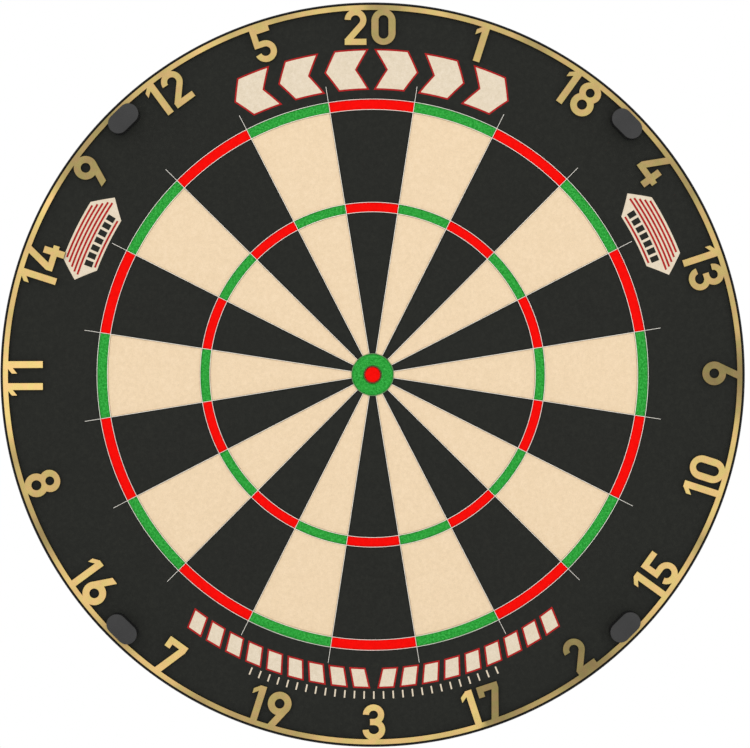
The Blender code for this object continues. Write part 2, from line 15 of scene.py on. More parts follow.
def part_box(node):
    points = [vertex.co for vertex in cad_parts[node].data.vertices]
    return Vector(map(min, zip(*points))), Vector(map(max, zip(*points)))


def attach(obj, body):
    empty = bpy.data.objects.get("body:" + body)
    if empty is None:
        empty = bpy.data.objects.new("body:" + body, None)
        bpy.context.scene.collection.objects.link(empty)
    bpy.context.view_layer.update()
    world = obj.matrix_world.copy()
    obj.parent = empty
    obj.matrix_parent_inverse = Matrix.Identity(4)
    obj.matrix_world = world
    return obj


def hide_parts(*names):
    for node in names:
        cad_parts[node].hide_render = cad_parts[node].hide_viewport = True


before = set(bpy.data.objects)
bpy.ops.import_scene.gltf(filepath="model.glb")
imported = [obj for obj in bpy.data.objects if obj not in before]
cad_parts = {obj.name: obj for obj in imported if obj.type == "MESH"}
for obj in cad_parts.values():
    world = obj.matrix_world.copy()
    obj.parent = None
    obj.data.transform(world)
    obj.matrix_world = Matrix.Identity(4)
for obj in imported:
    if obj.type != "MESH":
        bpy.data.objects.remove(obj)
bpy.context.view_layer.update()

MM = 0.001

# Places from the frame.


def measures(node):
    """A round node's radius, and its front and back depth."""
    low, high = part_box(node)
    return (high.x - low.x) / 2, -low.y, -high.y


def centre_of(node):
    low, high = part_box(node)
    return (low.x + high.x) / 2, (low.z + high.z) / 2


BOARD_RADIUS, HOOP_FRONT, BOARD_BACK = measures("steel_hoop")
SISAL_RADIUS, SISAL_FRONT, SISAL_BACK = measures("sisal_disc")
RING_RADIUS, RING_FRONT, RING_BACK = measures("number_ring")
_, BLADE_FRONT, ROUND_BLADE_BACK = measures("double_outer_ring")
BLADE_BACK = measures("radial_blade_01")[2]

# Board and blades.

SECTORS = 20
SECTOR_ANGLE = 360 / SECTORS
HOOP_THICKNESS = 1.0 * MM
BLADE_THICKNESS = 0.6 * MM
BLADE_EDGE = 0.24 * MM  # width of a blade's front edge
BLADE_TAPER = 0.55 * MM  # depth over which it narrows to that
BLADE_CORNER = 0.04 * MM
BLADE_TIP_RADIUS = 178.6 * MM
BLADE_TIP_SLOPE = 0.6 * MM
ROUND_BLADE_NODES = (
    "double_outer_ring",
    "double_inner_ring",
    "treble_outer_ring",
    "treble_inner_ring",
    "outer_bull_ring",
    "inner_bull_ring",
)
BLADE_RADII = {name: measures(name)[0] - BLADE_THICKNESS / 2 for name in ROUND_BLADE_NODES}

# Sisal fields: fibre closes up against each blade, sinking a little beside it.

FIELD_DEPTH = 3.0 * MM
FIELD_EDGE = BLADE_THICKNESS / 2 + 0.01 * MM  # from a blade's middle to a field's edge
DIP = ((0.0, 0.4 * MM), (0.15 * MM, 0.13 * MM), (0.45 * MM, 0.0))  # (distance from the edge, drop)
TILE_STEP = 5.0 * MM
SWELL = 0.06 * MM
SWELL_SIZE = 14 * MM

# Number ring.

NUMBERS = (20, 1, 18, 4, 13, 6, 10, 15, 2, 17, 3, 19, 7, 16, 8, 11, 14, 9, 12, 5)
BAND_WIDTH = 3.2 * MM
DIGIT_OVERLAP = 0.7 * MM  # how far a digit runs into the band
DIGIT_HEIGHT = 22.0 * MM
STEM = 4.3 * MM
BAR = 3.9 * MM
FIRST_DIGIT_END = -2.9 * MM  # the first of two digits ends here, and the second starts at 0
ONE_KERN = 1.4 * MM  # each 1 of the 11 stands this much further out
ARC_STEP = 7.5  # degrees between the points of a digit's curve
BAND_STEP = 1.5  # and of the band's

# Painted reflection on each digit's face: how light its colour is painted, from 0, dull, to 1, bright.
DIGIT_PAINTED_REFLECTIONS = {
    20: (0.66, 0.32),
    1: (0.55,),
    18: (0.52, 0.56),
    4: (0.36,),
    13: (0.66, 0.54),
    6: (0.1,),
    10: (0.82, 0.76),
    15: (0.82, 0.82),
    2: (0.12,),
    17: (0.88, 0.2),
    3: (0.86,),
    19: (0.5, 0.5),
    7: (0.9,),
    16: (0.88, 0.88),
    8: (0.62,),
    11: (1.0, 1.0),
    14: (0.8, 0.72),
    9: (0.28,),
    12: (0.6, 0.58),
    5: (0.62,),
}
BAND_PAINTED_REFLECTION = 0.6
BAND_SWING = 0.7  # how much the band's painted reflection changes round the ring
BAND_SWING_SIZE = 45 * MM
REFLECTION_REACH = 12 * MM  # from a digit's middle to where its painted reflection starts to fade along the band
REFLECTION_FADE = 20 * MM

# Keeper sizes.

KEEPERS = 4
KEEPER_LENGTH = 21.0 * MM
KEEPER_WIDTH = 12.4 * MM
KEEPER_NOTCH = 4.8 * MM  # from the keeper's middle out to the step that clears the band
KEEPER_CLEARANCE = 0.4 * MM  # between that step and the band
POCKET_RADIUS = 4.25 * MM
MAGNET_SHIFT = 0.8 * MM  # towards the board's middle, away from the notch
ANCHOR_PROUD = 0.08 * MM

# Prints: thin blocks of ink on the number field.

INK_BACK = SISAL_FRONT - 0.15 * MM
INK_FRONT = SISAL_FRONT + 0.1 * MM
TOP_INK_FRONT = INK_FRONT + 0.06 * MM  # of ink laid over other ink
INK_OUTLINE = 1.0 * MM
CHEVRON_RADIUS = 175.0 * MM
CHEVRON_START = 3.0 * MM
CHEVRON_STEP = 27.2 * MM
CHEVRON_WIDTH = 16.5 * MM
CHEVRON_HEIGHT = 23.0 * MM
CHEVRON_TIP = 6.5 * MM
BARS = 9
BAR_RADIUS = 190.6 * MM
BAR_START = 3.4 * MM
BAR_STEP = 13.6 * MM
BAR_WIDTH = 8.4 * MM
BAR_HEIGHT = 10.5 * MM
BAR_SLANT = 2.8 * MM
TICKS = 13  # on each side of the middle one
TICK_RADIUS = 198.0 * MM
TICK_STEP = 6.0 * MM
TICK_WIDTH = 0.9 * MM
TICK_HEIGHT = 4.6 * MM
PLAQUE_RADIUS = 191.0 * MM
PLAQUE_ANGLES = {"left": 296.3, "right": 63.2}
PLAQUE_REACH = 28 * MM  # from its middle to each end
PLAQUE_SHOULDER = 18 * MM
PLAQUE_HALF_HEIGHT = 11 * MM
STRIPE_ROWS = (9.0 * MM, 6.6 * MM, 4.2 * MM, 1.8 * MM, -0.6 * MM, -9.2 * MM)
STRIPE_MARGIN = 3 * MM
STRIPE_WIDTH = 1.2 * MM
BLOCKS = 3  # on each side of the middle one
BLOCK_STEP = 5.2 * MM
BLOCK_WIDTH = 3.6 * MM
BLOCK_BOTTOM = -7.4 * MM
BLOCK_TOP = -2.4 * MM

# Sizes at the back of the board.

FEET = 3
FOOT_BORE = 2.4 * MM
FOOT_COUNTERBORE = 5.0 * MM
FOOT_COUNTERBORE_DEPTH = 5.0 * MM
FOOT_TAPER = 3.0 * MM
FOOT_SCREW_SHANK = 2.0 * MM
FOOT_SCREW_HEAD = 2.9 * MM
RECESS_LENGTH = 4.4 * MM  # of each arm of a foot screw's cross recess
RECESS_WIDTH = 0.9 * MM
RECESS_DEPTH = 1.5 * MM
HANGING_SHANK = 3.0 * MM
HANGING_HEAD = 3.3 * MM
WASHER_BORE = 3.3 * MM

# Floor, lights and camera.

FLOOR_RADIUS = 1.1
FLOOR_HEIGHT = -0.45
ROOM_LIGHT = 0.85
LAMPS = {  # place, size and watts
    "key": ((-0.3, -2.6, 0.5), 2.2, 14),
    "fill": ((0.9, -2.4, -0.3), 2.0, 7),
}
CAMERA_DISTANCE = 1.2  # from the sisal's face
CAMERA_ROLL = 0.22  # degrees
IMAGE_WIDTH = 750
PIXEL = 0.6108 * MM  # what one pixel of the image covers on the sisal's face
CAMERA_RIGHT = 2.4 * PIXEL
CAMERA_UP = 0.65 * PIXEL
SENSOR_WIDTH = 36.0


def linear(red, green, blue):
    """Scene-linear colour, with full opacity, from 0 to 255 display values."""
    channels = []
    for value in (red, green, blue):
        share = value / 255
        channels.append(share / 12.92 if share <= 0.04045 else ((share + 0.055) / 1.055) ** 2.4)
    return (*channels, 1.0)


# Materials.


class Shader:
    """A material's node tree, with short calls for the nodes that these surfaces share."""

    def __init__(self, name):
        self.material = bpy.data.materials.new(name)
        self.material.use_nodes = True
        self.tree = self.material.node_tree
        self.surface = self.tree.nodes["Principled BSDF"]
        self.place = self.node("ShaderNodeTexCoord").outputs["Object"]

    def node(self, kind, inputs=None, **settings):
        """A new node, whose inputs get these sockets or values."""
        node = self.tree.nodes.new(kind)
        for name, value in settings.items():
            setattr(node, name, value)
        for name, value in (inputs or {}).items():
            self.feed(node.inputs[name], value)
        return node

    def feed(self, socket, value):
        if isinstance(value, bpy.types.NodeSocket):
            self.tree.links.new(value, socket)
        else:
            socket.default_value = value

    def set(self, **values):
        """Values of the surface shader's sockets, with _ for a space in a socket's name."""
        for name, value in values.items():
            self.feed(self.surface.inputs[name.replace("_", " ")], value)

    def stretched(self, scale):
        """The place, scaled along each axis: under 1 draws features out."""
        return self.node("ShaderNodeMapping", {"Vector": self.place, "Scale": scale}).outputs["Vector"]

    def noise(self, size, detail=2.0, roughness=0.5, place=None):
        """Smooth noise from 0 to 1, with features of about this size."""
        inputs = {"Vector": place or self.place, "Scale": 1 / size, "Detail": detail, "Roughness": roughness}
        return self.node("ShaderNodeTexNoise", inputs).outputs["Fac"]

    def cells(self, size, place=None):
        """Distance from the middle of each cell, and a colour that is the same over a cell."""
        node = self.node("ShaderNodeTexVoronoi", {"Vector": place or self.place, "Scale": 1 / size})
        return node.outputs["Distance"], node.outputs["Color"]

    def attribute(self, name):
        return self.node("ShaderNodeAttribute", attribute_name=name).outputs["Fac"]

    def ramp(self, share, *stops):
        """Colours or greys at places along 0 to 1: stops are (place, colour)."""
        node = self.node("ShaderNodeValToRGB", {"Fac": share})
        elements = node.color_ramp.elements
        while len(elements) < len(stops):
            elements.new(0.5)
        for element, (place, colour) in zip(elements, stops):
            element.position = place
            element.color = colour if isinstance(colour, tuple) else (colour, colour, colour, 1.0)
        return node.outputs["Color"]

    def math(self, operation, first, second):
        return self.node("ShaderNodeMath", {0: first, 1: second}, operation=operation).outputs[0]

    def mix(self, share, first, second, blend="MIX"):
        inputs = {"Factor": share, "A": first, "B": second}
        return self.node("ShaderNodeMix", inputs, data_type="RGBA", blend_type=blend).outputs["Result"]

    def grey(self, colour):
        return self.node("ShaderNodeRGBToBW", {"Color": colour}).outputs["Val"]

    def bump(self, height, depth, strength):
        inputs = {"Height": height, "Distance": depth, "Strength": strength}
        self.set(Normal=self.node("ShaderNodeBump", inputs).outputs["Normal"])


def sisal_material(name, dark, middle, light, grain=1.0, mottle_size=2.2 * MM):
    """Pressed sisal seen on the ends of its fibres: fine cells, darker towards their edges as painted shade
    in the pits, under a soft mottle of dye.
    """
    shader = Shader(name)
    mottle = shader.noise(mottle_size, detail=4.0, roughness=0.65)
    distance, _ = shader.cells(0.42 * MM)
    fibre = shader.noise(0.5 * MM, detail=2.0)
    blend = shader.mix(0.45, mottle, fibre)
    tint = shader.ramp(blend, (0.36, linear(*dark)), (0.5, linear(*middle)), (0.64, linear(*light)))
    # Darker towards each cell's edge, where the face sinks: painted shade.
    pit_shade = shader.ramp(distance, (0.35, 1.0), (0.95, 1.0 - 0.35 * grain))
    shader.set(Base_Color=shader.mix(1.0, tint, pit_shade, "MULTIPLY"))
    shader.set(Roughness=0.9, Specular_IOR_Level=0.05)
    height = shader.math("SUBTRACT", fibre, distance)
    shader.bump(height, 0.12 * MM, 0.5 * grain)
    return shader.material


def gold_material():
    """Lacquered gold sheet with a brushed face, whose colour carries a painted reflection that changes from
    digit to digit and round the ring.
    """
    shader = Shader("gold_sheet")
    # The vertex attribute read here paints reflected light and shade into the gold's colour.
    painted_reflection = shader.attribute("painted_reflection")
    smudge = shader.noise(9 * MM, detail=3.0)
    uneven = shader.math("MULTIPLY", shader.math("SUBTRACT", smudge, 0.5), 0.3)
    shade = shader.math("ADD", painted_reflection, uneven)
    colour = shader.ramp(
        shade,
        (0.0, linear(118, 104, 66)),
        (0.33, linear(157, 137, 88)),
        (0.66, linear(194, 167, 107)),
        (1.0, linear(227, 195, 126)),
    )
    greenish, reddish = (0.94, 1.0, 0.9, 1.0), (1.0, 0.94, 0.96, 1.0)
    hue = shader.ramp(shader.noise(5 * MM, detail=2.0), (0.4, greenish), (0.6, reddish))
    brushed = shader.noise(0.35 * MM, detail=3.0, place=shader.stretched((1.0, 1.0, 0.12)))
    streaks = shader.ramp(brushed, (0.3, 0.93), (0.7, 1.0))
    colour = shader.mix(1.0, shader.mix(1.0, colour, hue, "MULTIPLY"), streaks, "MULTIPLY")
    shader.set(Base_Color=colour, Metallic=0.7, Specular_IOR_Level=0.4)
    shader.set(Roughness=shader.ramp(brushed, (0.3, 0.42), (0.7, 0.54)))
    shader.bump(brushed, 0.02 * MM, 0.3)
    return shader.material


def metal_material(name, dull, bright, roughness, metallic=1.0):
    """Bare or plated metal, with fine marks and slightly duller patches."""
    shader = Shader(name)
    wear = shader.noise(4 * MM, detail=4.0)
    marks = shader.noise(0.4 * MM, detail=3.0)
    share = shader.mix(0.5, wear, marks)
    shader.set(Base_Color=shader.ramp(share, (0.35, linear(*dull)), (0.65, linear(*bright))))
    shader.set(Metallic=metallic)
    shader.set(Roughness=shader.ramp(share, (0.3, roughness * 1.25), (0.7, roughness * 0.8)))
    shader.bump(marks, 0.02 * MM, 0.35)
    return shader.material


def painted_material(name, dark, light, roughness, grain=0.8 * MM, depth=0.03 * MM):
    """Powder coat, rubber or moulded plastic: one colour with a fine grain and slight wear."""
    shader = Shader(name)
    texture = shader.noise(grain, detail=3.0)
    wear = shader.noise(14 * MM, detail=5.0, roughness=0.6)
    share = shader.mix(0.5, texture, wear)
    shader.set(Base_Color=shader.ramp(share, (0.38, linear(*dark)), (0.62, linear(*light))))
    shader.set(Roughness=shader.ramp(wear, (0.3, roughness * 1.12), (0.7, roughness * 0.88)))
    shader.set(Specular_IOR_Level=0.35)
    shader.bump(texture, depth, 0.6)
    return shader.material


def chipboard_material():
    """Pressed wood chips: flat flakes of several browns, with fine dust between."""
    shader = Shader("chipboard")
    _, long_flake = shader.cells(4.5 * MM, shader.stretched((1.0, 1.0, 0.35)))
    _, wide_flake = shader.cells(3.2 * MM, shader.stretched((0.4, 1.0, 1.0)))
    dust = shader.noise(0.7 * MM, detail=4.0)
    flake = shader.mix(shader.noise(6 * MM), long_flake, wide_flake)
    share = shader.mix(0.3, shader.grey(flake), dust)
    colour = shader.ramp(
        share,
        (0.2, linear(132, 96, 60)),
        (0.45, linear(176, 138, 94)),
        (0.6, linear(196, 160, 114)),
        (0.8, linear(216, 186, 142)),
    )
    shader.set(Base_Color=colour, Roughness=0.8, Specular_IOR_Level=0.25)
    shader.bump(share, 0.12 * MM, 0.5)
    return shader.material


MATERIALS = {
    "black": sisal_material("sisal_black", (38, 39, 36), (41, 42, 39), (46, 47, 43), 0.4),
    "cream": sisal_material("sisal_cream", (229, 204, 169), (235, 210, 175), (241, 217, 184), 0.2),
    "red": sisal_material("sisal_red", (232, 9, 5), (243, 10, 5), (250, 15, 9), 0.2),
    "green": sisal_material("sisal_green", (12, 112, 28), (44, 160, 57), (80, 198, 92), 0.5, 1.3 * MM),
    "natural": sisal_material("sisal_natural", (170, 140, 96), (196, 166, 120), (214, 188, 146)),
    "print_cream": sisal_material("print_cream", (218, 203, 178), (225, 210, 186), (232, 218, 196), 0.2),
    "print_red": sisal_material("print_red", (158, 26, 28), (172, 34, 34), (184, 44, 42), 0.2),
    "gold": gold_material(),
    # Near-black copy of the gold for the sheet's steep sides: painted shade.
    "gold_side_painted_shade": metal_material("gold_side_painted_shade", (20, 14, 4), (34, 25, 9), 0.5, metallic=0.3),
    "blade": metal_material("blade_steel", (238, 233, 222), (253, 249, 240), 0.4, metallic=0.5),
    # Steel tinted green for the outer bull's blade: painted reflection of the green field round it.
    "blade_painted_green_reflection": metal_material("blade_painted_green_reflection", (96, 142, 92), (128, 172, 118), 0.45, metallic=0.5),
    # Dark brown steel for the inner bull's blade: painted shadow.
    "blade_painted_shadow": metal_material("blade_painted_shadow", (58, 40, 24), (92, 66, 44), 0.45, metallic=0.5),
    # Slightly darker copy of the blade steel for the blades' steep sides: painted shade.
    "blade_side_painted_shade": metal_material("blade_side_painted_shade", (226, 223, 214), (240, 237, 229), 0.3),
    "zinc": metal_material("zinc_plate", (150, 154, 158), (196, 198, 200), 0.34),
    "nickel": metal_material("nickel_plate", (176, 174, 166), (214, 212, 204), 0.22),
    "black_steel": painted_material("black_steel", (9, 9, 9), (17, 17, 16), 0.5),
    "bracket_steel": painted_material("bracket_steel", (26, 26, 27), (44, 44, 45), 0.4),
    "cap_plastic": painted_material("cap_plastic", (45, 45, 45), (51, 51, 51), 0.65, 0.5 * MM),
    # Near-black copy of the cap plastic for its steep sides: painted shade.
    "cap_side_painted_shade": painted_material("cap_side_painted_shade", (8, 8, 8), (14, 14, 14), 0.7, 0.5 * MM),
    "rubber": painted_material("rubber", (24, 24, 25), (38, 38, 38), 0.85, 1.1 * MM, 0.06 * MM),
    "chipboard": chipboard_material(),
}


# Geometry helpers.


def on_face(radius, angle):
    """(x, z) at an angle clockwise from the top."""
    return radius * sin(radians(angle)), radius * cos(radians(angle))


def add_object(name, data, place=(0.0, 0.0, 0.0)):
    thing = bpy.data.objects.new(name, data)
    thing.location = place
    bpy.context.scene.collection.objects.link(thing)
    return thing


def add_piece(name, bm, finish, body, nodes, slot, sharp=35, place=(0.0, 0.0), turn=0.0, side=None):
    """A piece that rides on a body and stands for CAD nodes. Its steep faces may take a side material, a
    darker copy of its finish that paints shade on them.
    """
    bmesh.ops.recalc_face_normals(bm, faces=bm.faces[:])
    # Steep faces take the side material, painted shade.
    if side:
        for face in bm.faces:
            face.material_index = 1 if abs(face.normal.y) < 0.5 else 0
    mesh = bpy.data.meshes.new(name)
    bm.to_mesh(mesh)
    bm.free()
    mesh.shade_smooth()
    mesh.set_sharp_from_angle(angle=radians(sharp))
    for used in (finish, side):
        if used:
            mesh.materials.append(MATERIALS[used])
    piece = add_object(name, mesh, (place[0], 0.0, place[1]))
    piece.rotation_euler = (0.0, radians(turn), 0.0)
    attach(piece, body)
    if nodes:
        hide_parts(*nodes)


def turned(section, segments):
    """A body from a section, (radius, depth) points all the way round it, turned about the Y axis."""
    bm = bmesh.new()
    rings = []
    for radius, depth in section:
        if radius == 0:
            rings.append([bm.verts.new((0.0, -depth, 0.0))] * segments)
            continue
        ring = []
        for step in range(segments):
            x, z = on_face(radius, 360 * step / segments)
            ring.append(bm.verts.new((x, -depth, z)))
        rings.append(ring)
    for near, far in zip(rings, rings[1:] + rings[:1]):
        for step in range(segments):
            after = (step + 1) % segments
            corners = dict.fromkeys((near[step], near[after], far[after], far[step]))
            if len(corners) > 2:
                bm.faces.new(list(corners))
    return bm


def rounded(section, radius, steps=4):
    """A section with each sharp corner off the axis turned into an arc of about this radius."""
    points = [Vector(point) for point in section]
    result = []
    for index, point in enumerate(points):
        before = points[index - 1] - point
        after = points[(index + 1) % len(points)] - point
        if point.x == 0 or before.length == 0 or after.length == 0:
            result.append(tuple(point))
            continue
        reach = min(radius, before.length * 0.45, after.length * 0.45)
        start = point + before.normalized() * reach
        end = point + after.normalized() * reach
        for step in range(steps + 1):
            share = step / steps
            bend = start * (1 - share) ** 2 + point * 2 * share * (1 - share) + end * share**2
            result.append(tuple(bend))
    return result


def arc(middle, radii, start, end, step=ARC_STEP):
    """Points along an ellipse between two angles, which here are anticlockwise from the right."""
    count = max(2, round(abs(end - start) / step))
    points = []
    for index in range(count + 1):
        angle = radians(start + (end - start) * index / count)
        points.append(Vector((middle[0] + radii[0] * cos(angle), middle[1] + radii[1] * sin(angle))))
    return points


def circle(middle, radius, step=ARC_STEP):
    return arc(middle, (radius, radius), 0, 360, step)[:-1]


def box(left, bottom, right, top):
    return [Vector((left, bottom)), Vector((right, bottom)), Vector((right, top)), Vector((left, top))]


def upright_slot(width, bottom, top, left=0.0):
    """A rectangle with half-round ends."""
    radius = width / 2
    middle = left + radius
    upper = arc((middle, top - radius), (radius, radius), 0, 180)
    lower = arc((middle, bottom + radius), (radius, radius), 180, 360)
    return upper + lower


def strip(path, width):
    """The outline of a strip of one width along a path, with square ends."""
    points = [Vector(point) for point in path]
    ways = [(after - before).normalized() for before, after in zip(points, points[1:])]
    left = []
    right = []
    for index, point in enumerate(points):
        before = ways[max(index - 1, 0)]
        after = ways[min(index, len(ways) - 1)]
        middle = (before + after).normalized()
        normal = Vector((-middle.y, middle.x))
        reach = width / 2 / normal.dot(Vector((-after.y, after.x)))
        left.append(point + normal * reach)
        right.append(point - normal * reach)
    return left + right[::-1]


def tangent_angle(point, middle, radius, side):
    """Where a line from the point touches the circle: the angle anticlockwise from the right."""
    away = atan2(point[1] - middle[1], point[0] - middle[0])
    half = acos(radius / hypot(point[0] - middle[0], point[1] - middle[1]))
    return degrees(away + side * half)


def moved_shapes(shapes, move):
    """Flat shapes with each point moved."""
    result = []
    for outline, holes in shapes:
        outline, *holes = [[move(point) for point in loop] for loop in (outline, *holes)]
        result.append((outline, holes))
    return result


def signed_area(loop):
    return sum(a.x * b.y - b.x * a.y for a, b in zip(loop, loop[1:] + loop[:1])) / 2


def merged_loops(shapes):
    """The outlines of the union of flat shapes: outer loops anticlockwise, holes clockwise."""
    points = []
    loops = []
    members = []
    for outline, holes in shapes:
        numbers = []
        for loop in (outline, *holes):
            numbers.append(len(loops))
            loops.append(list(range(len(points), len(points) + len(loop))))
            points += loop if signed_area(loop) > 0 else loop[::-1]
        members.append((numbers[0], set(numbers[1:])))
    corners, _, triangles, _, _, holders = delaunay_2d_cdt(points, [], loops, 1, 1e-6)
    sides = set()
    for triangle, holder in zip(triangles, holders):
        holder = set(holder)
        if any(outer in holder and not holes & holder for outer, holes in members):
            triangle = list(triangle)
            sides.update(zip(triangle, triangle[1:] + triangle[:1]))
    follow = {start: end for start, end in sides if (end, start) not in sides}
    merged = []
    while follow:
        start, point = follow.popitem()
        loop = [start]
        while point != start:
            loop.append(point)
            point = follow.pop(point)
        merged.append([corners[corner].copy() for corner in loop])
    return merged


def inset(loop, distance):
    """The loop moved towards its left side, the solid's side."""
    moved = []
    for index, point in enumerate(loop):
        before = (point - loop[index - 1]).normalized()
        after = (loop[(index + 1) % len(loop)] - point).normalized()
        middle = (before + after).normalized()
        normal = Vector((-middle.y, middle.x))
        lean = max(normal.dot(Vector((-after.y, after.x))), 0.5)
        moved.append(point + normal * (distance / lean))
    return moved


def fill(bm, loops, rows, flip):
    """Faces across the loops, whose vertices are rows."""
    points = [point for loop in loops for point in loop]
    vertices = [vertex for row in rows for vertex in row]
    faces = []
    outward = []
    first = 0
    for loop in loops:
        numbers = list(range(first, first + len(loop)))
        outward.append(signed_area(loop) > 0)
        faces.append(numbers if outward[-1] else numbers[::-1])
        first += len(loop)
    corners, _, triangles, origins, _, holders = delaunay_2d_cdt(points, [], faces, 1, 1e-9)
    for triangle, holder in zip(triangles, holders):
        if sum(1 if outward[number] else -1 for number in holder) <= 0:
            continue
        corner_vertices = [vertices[origins[corner][0]] for corner in triangle]
        bm.faces.new(corner_vertices[::-1] if flip else corner_vertices)


def plate(shapes, back, front, edge, bm=None):
    """A flat plate of merged shapes, whose front edge has (inset, drop) pairs from side to face."""
    loops = merged_loops(shapes)
    bm = bm or bmesh.new()
    levels = [(loops, back)]
    for distance, drop in edge:
        levels.append(([inset(loop, distance) if distance else loop for loop in loops], front - drop))
    rows = []
    for level_loops, depth in levels:
        rows.append([[bm.verts.new((p.x, -depth, p.y)) for p in loop] for loop in level_loops])
    for lower, upper in zip(rows, rows[1:]):
        for low_row, high_row in zip(lower, upper):
            for index in range(len(low_row)):
                after = (index + 1) % len(low_row)
                bm.faces.new((low_row[index], low_row[after], high_row[after], high_row[index]))
    fill(bm, levels[0][0], rows[0], True)
    fill(bm, levels[-1][0], rows[-1], False)
    return bm


FLAT = ((0.0, 0.0),)  # a plain edge for plate


def round_edge(radius, steps=3):
    """An edge for plate: a quarter round of this radius."""
    edge = []
    for step in range(steps + 1):
        angle = radians(90 * step / steps)
        edge.append((radius * (1 - cos(angle)), radius * (1 - sin(angle))))
    return edge


# Sisal.


def spread(low, high):
    """(place, drop of the face) from low to high, crowded at both ends as DIP says."""
    inner_low = low + DIP[-1][0]
    inner_high = high - DIP[-1][0]
    count = max(1, round((inner_high - inner_low) / TILE_STEP))
    places = [(low + distance, drop) for distance, drop in DIP]
    for index in range(1, count):
        places.append((inner_low + (inner_high - inner_low) * index / count, 0.0))
    return places + [(high - distance, drop) for distance, drop in reversed(DIP)]


def face_height(x, z):
    """Slight swell of the pressed face."""
    return SWELL * noise.noise(Vector((x, 0.0, z)) / SWELL_SIZE)


def add_slab(bm, grid, floor):
    """A closed body from a grid of (x, z, depth) rows, down to a flat floor."""
    rows = [[bm.verts.new((x, -depth, z)) for x, z, depth in row] for row in grid]
    for near, far in zip(rows, rows[1:]):
        for index in range(len(near) - 1):
            bm.faces.new((near[index], near[index + 1], far[index + 1], far[index]))
    rim = rows[0][:-1] + [row[-1] for row in rows[:-1]]
    rim += rows[-1][:0:-1] + [row[0] for row in rows[:0:-1]]
    base = [bm.verts.new((vertex.co.x, -floor, vertex.co.z)) for vertex in rim]
    for index in range(len(rim)):
        after = (index + 1) % len(rim)
        bm.faces.new((rim[index], rim[after], base[after], base[index]))
    bm.faces.new(base)


def add_field(bm, inner, outer, angle):
    """One field of a sector, from inner to outer radius, between the blades beside the angle."""
    grid = []
    for radius, sink in spread(inner, outer):
        half_width = radius * sin(radians(SECTOR_ANGLE / 2)) - FIELD_EDGE
        row = []
        for offset, side_sink in spread(-half_width, half_width):
            from_blade = FIELD_EDGE + half_width - abs(offset)
            lean = SECTOR_ANGLE / 2 - degrees(asin(min(1.0, from_blade / radius)))
            x, z = on_face(radius, angle + (lean if offset > 0 else -lean))
            row.append((x, z, SISAL_FRONT - max(sink, side_sink) + face_height(x, z)))
        grid.append(row)
    add_slab(bm, grid, SISAL_FRONT - FIELD_DEPTH)


def sisal_fields():
    """The fields of each colour as one piece. Colours in a band change from sector to sector."""
    bands = (
        ("outer_bull_ring", "treble_inner_ring", "black", "cream"),
        ("treble_inner_ring", "treble_outer_ring", "red", "green"),
        ("treble_outer_ring", "double_inner_ring", "black", "cream"),
        ("double_inner_ring", "double_outer_ring", "red", "green"),
    )
    meshes = {colour: bmesh.new() for colour in ("black", "cream", "red", "green")}
    for sector in range(SECTORS):
        for inner_blade, outer_blade, even, odd in bands:
            inner = BLADE_RADII[inner_blade] + FIELD_EDGE
            outer = BLADE_RADII[outer_blade] - FIELD_EDGE
            add_field(meshes[even if sector % 2 == 0 else odd], inner, outer, SECTOR_ANGLE * sector)
    for colour, bm in meshes.items():
        add_piece(f"sisal_fields_{colour}", bm, colour, "board", ["sisal_disc"], "sisal")


def round_field(name, inner, outer, finish, segments):
    """A round field about the middle, sunk at its edges where blades meet it."""
    solid = inner == 0
    section = [(0.0, SISAL_FRONT)] if solid else []
    for radius, sink in spread(inner, outer):
        if not solid or radius >= outer / 2:
            section.append((radius, SISAL_FRONT - sink))
    floor = SISAL_FRONT - FIELD_DEPTH
    section += [(outer, floor), (inner, floor)]
    bm = turned(section, segments)
    for vertex in bm.verts:
        if -vertex.co.y > floor + 0.5 * MM:
            vertex.co.y -= face_height(vertex.co.x, vertex.co.z)
    add_piece(name, bm, finish, "board", ["sisal_disc"], "sisal")


def sisal():
    sisal_fields()
    inner_bull = BLADE_RADII["inner_bull_ring"]
    outer_bull = BLADE_RADII["outer_bull_ring"]
    doubles = BLADE_RADII["double_outer_ring"]
    # The inner bull's blade stands in a slightly wider slot.
    red_edge = inner_bull - FIELD_EDGE - 0.35 * MM
    green_edge = inner_bull + FIELD_EDGE + 0.1 * MM
    round_field("sisal_inner_bull", 0.0, red_edge, "red", 64)
    round_field("sisal_outer_bull", green_edge, outer_bull - FIELD_EDGE, "green", 96)
    round_field("sisal_number_field", doubles + FIELD_EDGE, SISAL_RADIUS, "black", 240)
    floor = SISAL_FRONT - FIELD_DEPTH - 0.02 * MM
    core = [(0, SISAL_BACK), (SISAL_RADIUS, SISAL_BACK), (SISAL_RADIUS, floor), (0, floor)]
    bm = turned(rounded(core, 0.4 * MM), 240)
    add_piece("sisal_core", bm, "natural", "board", ["sisal_disc"], "sisal")


# Blades.


def blade_profile(back):
    """(offset, depth) points round a blade's cross-section, which narrows to a thin front edge."""
    half = BLADE_THICKNESS / 2
    edge = BLADE_EDGE / 2
    shoulder = BLADE_FRONT - BLADE_TAPER
    right = [(half, back), (half, shoulder)]
    right += [(edge, BLADE_FRONT - BLADE_CORNER), (edge - BLADE_CORNER, BLADE_FRONT)]
    return right + [(-offset, depth) for offset, depth in reversed(right)]


